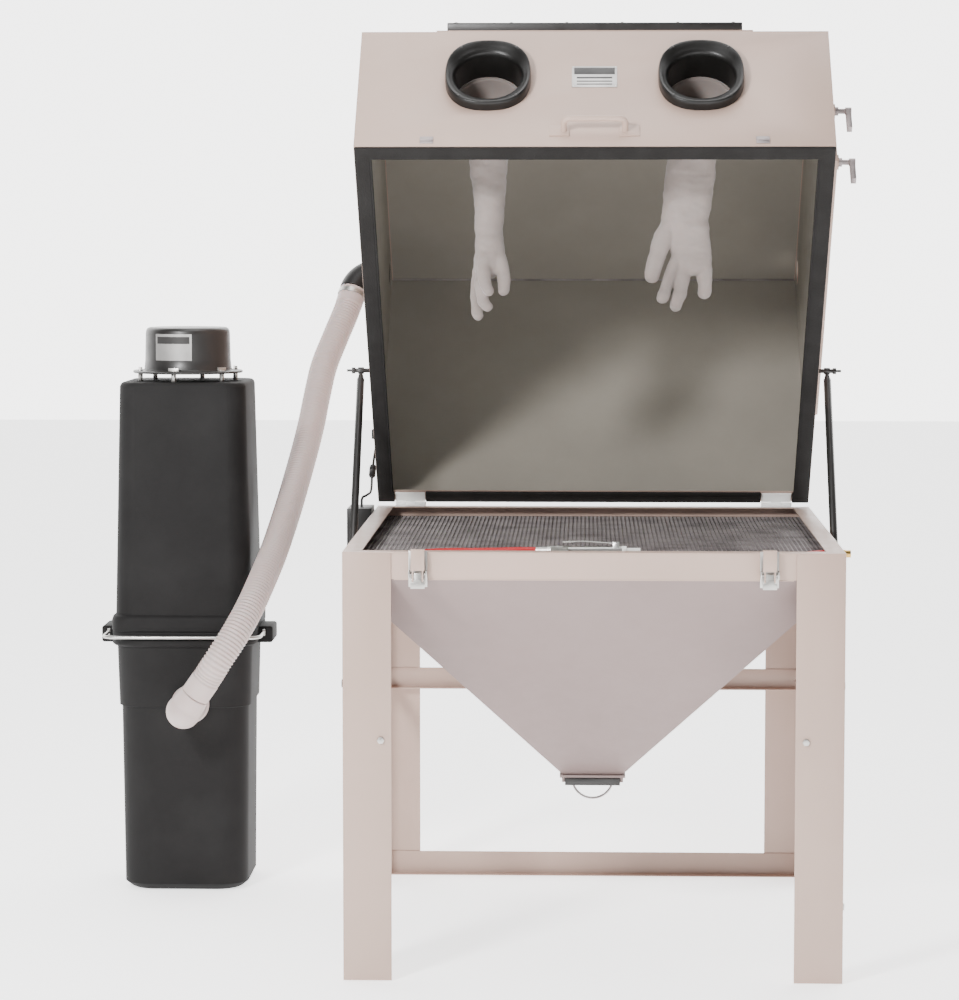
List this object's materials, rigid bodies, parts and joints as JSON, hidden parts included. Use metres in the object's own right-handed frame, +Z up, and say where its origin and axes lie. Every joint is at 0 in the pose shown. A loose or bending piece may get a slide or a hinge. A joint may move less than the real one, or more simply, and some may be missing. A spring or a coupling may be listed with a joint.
{
  "type": "sandblast cabinet",
  "caption": "Sandblast cabinet: legged base with funnel hopper and grate, lifting hood with arm ports, gloves, window and side door, and a bin-type dust collector joined by a ribbed hose.",
  "frame": {"origin": "on the floor, in the middle of the whole machine's outline, dust collector included, with the hood open", "axes": "+Z up, +X towards the cabinet's right side as the operator stands, -Y towards the operator"},
  "size_m": [1.797, 1.7693, 2.0813],
  "materials": {
    "paint": "satin",
    "paint_shade": "satin",
    "zinc": "satin",
    "dark_steel": "satin",
    "grate_steel": "dull",
    "gun_metal": "satin",
    "nozzle_white": "gloss",
    "red_hose": "satin",
    "brass": "satin",
    "black_plastic": "matt",
    "bin_plastic": "matt",
    "filter_paper": "matt",
    "motor_metal": "satin",
    "white_hose": "satin",
    "foam_seal": "matt",
    "port_rubber": "satin",
    "clear_glass": "clear",
    "glove_fabric": "matt",
    "lamp_white": "gloss",
    "cable_rubber": "satin"
  },
  "bodies": {
    "base": {"base_tub": "paint", "hopper": "paint_shade", "leg_front_left": "paint", "leg_front_right": "paint", "leg_rear_left": "paint", "leg_rear_right": "paint", "frame_rails": "paint", "frame_bolts": "zinc", "grate": "grate_steel", "grate_ledges": "paint_shade", "hinge_base_leaves": "zinc", "hinge_pins": "zinc", "latch_bases": "zinc", "spring_brackets": "dark_steel", "cleanout_collar": "paint_shade", "gun_body": "gun_metal", "gun_nozzle": "nozzle_white", "gun_hose": "red_hose", "air_fitting": "brass", "junction_box": "black_plastic", "lamp_cable": "cable_rubber", "bin_lower": "bin_plastic", "bin_upper": "bin_plastic", "filter_cartridge": "filter_paper", "vac_motor": "motor_metal", "motor_cap": "bin_plastic", "cap_screws": "zinc", "bin_elbow": "white_hose", "dust_hose": "white_hose"},
    "hood": {"hood_shell": "paint", "hood_gasket": "foam_seal", "window_frame": "black_plastic", "window_glass": "clear_glass", "arm_ring_left": "port_rubber", "arm_ring_right": "port_rubber", "glove_left": "glove_fabric", "glove_right": "glove_fabric", "pull_handle": "paint", "exhaust_elbow": "black_plastic", "inlet_vent": "paint", "lamp": "lamp_white", "hinge_hood_leaves": "zinc", "hood_brackets": "zinc", "cable_gland": "black_plastic", "door_hinge": "zinc"},
    "door": {"side_door": "paint"},
    "door_handle_upper": {"door_handle_upper": "zinc"},
    "door_handle_lower": {"door_handle_lower": "zinc"},
    "latch_lever_left": {"latch_lever_left": "zinc"},
    "latch_lever_right": {"latch_lever_right": "zinc"},
    "latch_claw_left": {"latch_claw_left": "paint"},
    "latch_claw_right": {"latch_claw_right": "paint"},
    "spring_rod_left": {"spring_rod_left": "zinc"},
    "spring_rod_right": {"spring_rod_right": "zinc"},
    "spring_tube_left": {"spring_tube_left": "dark_steel"},
    "spring_tube_right": {"spring_tube_right": "dark_steel"},
    "cleanout_slide": {"cleanout_slide": "dark_steel"},
    "cleanout_bail": {"cleanout_bail": "zinc"},
    "gun_trigger": {"gun_trigger": "gun_metal"},
    "bin_bail": {"bin_bail": "zinc"}
  },
  "joints": [
    {"name": "hood_hinge", "type": "hinge", "parent": "base", "child": "hood", "pos_m": [0.305, 0.323, 0.927], "axis": [1, 0, 0], "range_deg": [0, 46.3], "deforming": ["dust_hose", "lamp_cable", "glove_left", "glove_right"]},
    {"name": "side_door_hinge", "type": "hinge", "parent": "hood", "child": "door", "pos_m": [0.849, 0.35988, 1.24303], "axis": [0, 0.723, 0.6909], "range_deg": [0, 110]},
    {"name": "door_handle_upper_turn", "type": "hinge", "parent": "door", "child": "door_handle_upper", "pos_m": [0.8543, -0.16258, 1.87659], "axis": [1, 0, 0], "range_deg": [0, 90]},
    {"name": "door_handle_lower_turn", "type": "hinge", "parent": "door", "child": "door_handle_lower", "pos_m": [0.8543, -0.28765, 1.75707], "axis": [1, 0, 0], "range_deg": [0, 90]},
    {"name": "latch_lever_left_turn", "type": "hinge", "parent": "base", "child": "latch_lever_left", "pos_m": [-0.067, -0.878, 0.877], "axis": [-1, 0, 0], "range_deg": [0, 95]},
    {"name": "latch_claw_left_turn", "type": "hinge", "parent": "latch_lever_left", "child": "latch_claw_left", "pos_m": [-0.067, -0.881, 0.865], "axis": [1, 0, 0], "range_deg": [0, 95]},
    {"name": "latch_lever_right_turn", "type": "hinge", "parent": "base", "child": "latch_lever_right", "pos_m": [0.677, -0.878, 0.877], "axis": [-1, 0, 0], "range_deg": [0, 95]},
    {"name": "latch_claw_right_turn", "type": "hinge", "parent": "latch_lever_right", "child": "latch_claw_right", "pos_m": [0.677, -0.881, 0.865], "axis": [1, 0, 0], "range_deg": [0, 95]},
    {"name": "spring_left_swing", "type": "hinge", "parent": "base", "child": "spring_rod_left", "pos_m": [-0.255, -0.385, 0.575], "axis": [1, 0, 0], "range_deg": [-0.75, 0]},
    {"name": "spring_left_stroke", "type": "slide", "parent": "spring_rod_left", "child": "spring_tube_left", "axis": [0, -0.5762, -0.8173], "range_m": [0, 0.3188]},
    {"name": "spring_right_swing", "type": "hinge", "parent": "base", "child": "spring_rod_right", "pos_m": [0.865, -0.385, 0.575], "axis": [1, 0, 0], "range_deg": [-0.75, 0]},
    {"name": "spring_right_stroke", "type": "slide", "parent": "spring_rod_right", "child": "spring_tube_right", "axis": [0, -0.5762, -0.8173], "range_m": [0, 0.3188]},
    {"name": "outlet_slide", "type": "slide", "parent": "base", "child": "cleanout_slide", "axis": [0, -1, 0], "range_m": [0, 0.12]},
    {"name": "outlet_bail", "type": "hinge", "parent": "cleanout_slide", "child": "cleanout_bail", "pos_m": [0.305, -0.275, 0.342], "axis": [1, 0, 0], "range_deg": [-80, 80]},
    {"name": "gun_trigger_press", "type": "hinge", "parent": "base", "child": "gun_trigger", "pos_m": [0.354, -0.685, 0.9245], "axis": [0, -1, 0], "range_deg": [0, 3], "stiffness_Nm_per_rad": 0.3, "springref_deg": -17.19},
    {"name": "bin_bail_lift", "type": "hinge", "parent": "base", "child": "bin_bail", "pos_m": [-0.688, 0.144, 0.625], "axis": [-1, 0, 0], "range_deg": [0, 18]}
  ],
  "couplings": [
    {"joint": "latch_claw_left_turn", "follows": "latch_lever_left_turn", "ratio": 1},
    {"joint": "spring_left_swing", "follows": "hood_hinge", "ratio": -0.015881},
    {"joint": "spring_left_stroke", "follows": "hood_hinge", "m_per_rad": 0.39411},
    {"joint": "latch_claw_right_turn", "follows": "latch_lever_right_turn", "ratio": 1},
    {"joint": "spring_right_swing", "follows": "hood_hinge", "ratio": -0.015881},
    {"joint": "spring_right_stroke", "follows": "hood_hinge", "m_per_rad": 0.39411}
  ]
}
